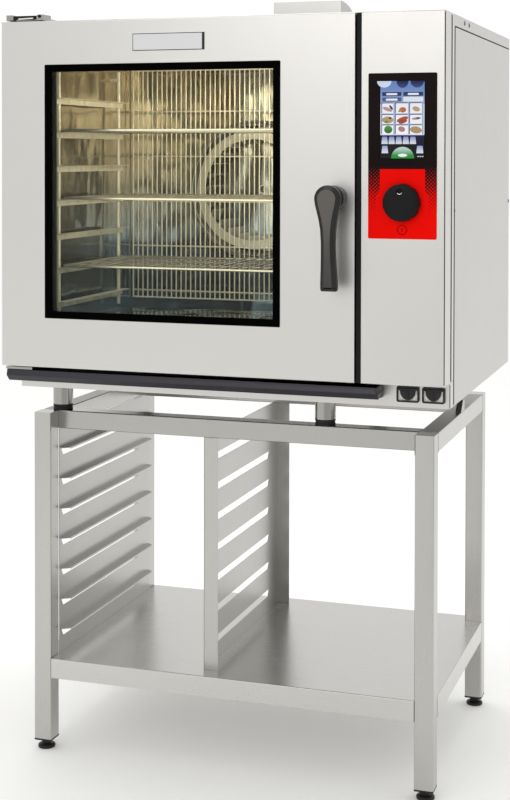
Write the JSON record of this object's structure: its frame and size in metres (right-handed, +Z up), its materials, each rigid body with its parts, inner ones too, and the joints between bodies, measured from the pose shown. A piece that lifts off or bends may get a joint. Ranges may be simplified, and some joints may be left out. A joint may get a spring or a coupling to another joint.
{
  "type": "combi steamer oven",
  "caption": "Convection and steam oven with a glazed side-hung door, a control column at the right and a vented cavity, standing on an open tube stand with tray slides and a lower shelf",
  "frame": {"origin": "centre of the footprint at floor level, under the stand feet", "axes": "+Z up; the door faces -Y; +X to the right when facing the door; the door hinge is at the left"},
  "size_m": [0.942, 0.852, 1.609],
  "materials": {
    "stand_steel": "satin",
    "black_plastic": "matte",
    "casing_steel": "satin",
    "door_steel": "satin",
    "rubber": "matte",
    "dark_steel": "satin",
    "cavity_steel": "gloss",
    "wool": "matte",
    "bright_steel": "gloss",
    "brass": "satin",
    "tray_grey": "satin",
    "fascia_red": "gloss",
    "screen_glass": "gloss",
    "grey_plastic": "satin",
    "zinc": "satin",
    "clear_glass": "gloss",
    "plate_silver": "satin",
    "lamp_glass": "gloss"
  },
  "bodies": {
    "base": {"stand_legs": "stand_steel", "cross_rails": "stand_steel", "side_rails": "stand_steel", "lower_shelf": "stand_steel", "slide_panel_left": "stand_steel", "slide_panel_middle": "stand_steel", "foot_caps": "black_plastic", "cable_gland": "black_plastic", "port_frames": "black_plastic", "oven_feet": "casing_steel", "base_pan": "casing_steel", "side_panel_left": "casing_steel", "side_panel_right": "casing_steel", "top_cover": "casing_steel", "back_panel": "casing_steel", "front_frame": "casing_steel", "vent_cowl": "casing_steel", "vent_pipe": "casing_steel", "column_cover": "casing_steel", "oven_foot_pads": "rubber", "door_gasket": "rubber", "side_screws": "dark_steel", "heating_element": "dark_steel", "cavity": "cavity_steel", "drain_strainer": "cavity_steel", "insulation": "wool", "hinge_brackets": "bright_steel", "latch_striker": "bright_steel", "drain_pipe": "bright_steel", "tray_racks": "bright_steel", "fan_guard": "bright_steel", "water_inlet": "brass", "drip_tray": "tray_grey", "fascia": "fascia_red", "touch_screen": "screen_glass", "encoder_body": "grey_plastic", "electronics_box": "zinc", "fan_motor": "zinc", "oven_lamp": "lamp_glass"},
    "door": {"door_shell": "door_steel", "door_inner_frame": "door_steel", "window_trim": "rubber", "outer_glass": "clear_glass", "inner_glass": "clear_glass", "nameplate": "plate_silver"},
    "handle": {"handle_lever": "grey_plastic", "latch_cam": "bright_steel"},
    "encoder": {"encoder_rotor": "bright_steel"},
    "knob": {"selector_knob": "black_plastic"},
    "fan": {"fan_wheel": "bright_steel"},
    "damper": {"vent_damper": "bright_steel"},
    "port_cover_left": {"port_flap_left": "black_plastic"},
    "port_cover_right": {"port_flap_right": "black_plastic"},
    "upper_shelf": {"shelf_top": "bright_steel"},
    "centre_shelf": {"shelf_middle": "bright_steel"},
    "low_shelf": {"shelf_bottom": "bright_steel"},
    "foot_fl": {"level_foot_fl": "black_plastic"},
    "foot_fr": {"level_foot_fr": "black_plastic"},
    "foot_bl": {"level_foot_bl": "black_plastic"},
    "foot_br": {"level_foot_br": "black_plastic"}
  },
  "joints": [
    {"name": "door_hinge", "type": "hinge", "parent": "base", "child": "door", "pos_m": [-0.444, -0.338, 1.222], "axis": [0, 0, -1], "range_deg": [0, 180]},
    {"name": "handle_turn", "type": "hinge", "parent": "door", "child": "handle", "pos_m": [0.257, -0.364, 1.221], "axis": [0, 1, 0], "range_deg": [0, 90]},
    {"name": "knob_turn", "type": "hinge", "parent": "base", "child": "encoder", "pos_m": [0.3895, -0.354, 1.214], "axis": [0, 1, 0], "continuous": true},
    {"name": "knob_push", "type": "slide", "parent": "encoder", "child": "knob", "axis": [0, 1, 0], "range_m": [0, 0.002], "stiffness_N_per_m": 1500},
    {"name": "fan_spin", "type": "hinge", "parent": "base", "child": "fan", "pos_m": [-0.097, 0.236, 1.2215], "axis": [0, 1, 0], "continuous": true},
    {"name": "damper_turn", "type": "hinge", "parent": "base", "child": "damper", "pos_m": [0.1515, -0.239, 1.559], "axis": [1, 0, 0], "range_deg": [0, 90]},
    {"name": "port_left_lift", "type": "hinge", "parent": "base", "child": "port_cover_left", "pos_m": [0.38775, -0.3036, 0.8505], "axis": [-1, 0, 0], "range_deg": [0, 85]},
    {"name": "port_right_lift", "type": "hinge", "parent": "base", "child": "port_cover_right", "pos_m": [0.43825, -0.3036, 0.8505], "axis": [-1, 0, 0], "range_deg": [0, 85]},
    {"name": "upper_shelf_slide", "type": "slide", "parent": "base", "child": "upper_shelf", "axis": [0, -1, 0], "range_m": [0, 0.025]},
    {"name": "centre_shelf_slide", "type": "slide", "parent": "base", "child": "centre_shelf", "axis": [0, -1, 0], "range_m": [0, 0.025]},
    {"name": "low_shelf_slide", "type": "slide", "parent": "base", "child": "low_shelf", "axis": [0, -1, 0], "range_m": [0, 0.025]},
    {"name": "foot_fl_turn", "type": "hinge", "parent": "base", "child": "foot_fl", "pos_m": [-0.451, -0.176, 0.01], "axis": [0, 0, 1], "continuous": true},
    {"name": "foot_fr_turn", "type": "hinge", "parent": "base", "child": "foot_fr", "pos_m": [0.398, -0.176, 0.01], "axis": [0, 0, 1], "continuous": true},
    {"name": "foot_bl_turn", "type": "hinge", "parent": "base", "child": "foot_bl", "pos_m": [-0.451, 0.375, 0.01], "axis": [0, 0, 1], "continuous": true},
    {"name": "foot_br_turn", "type": "hinge", "parent": "base", "child": "foot_br", "pos_m": [0.398, 0.375, 0.01], "axis": [0, 0, 1], "continuous": true}
  ]
}
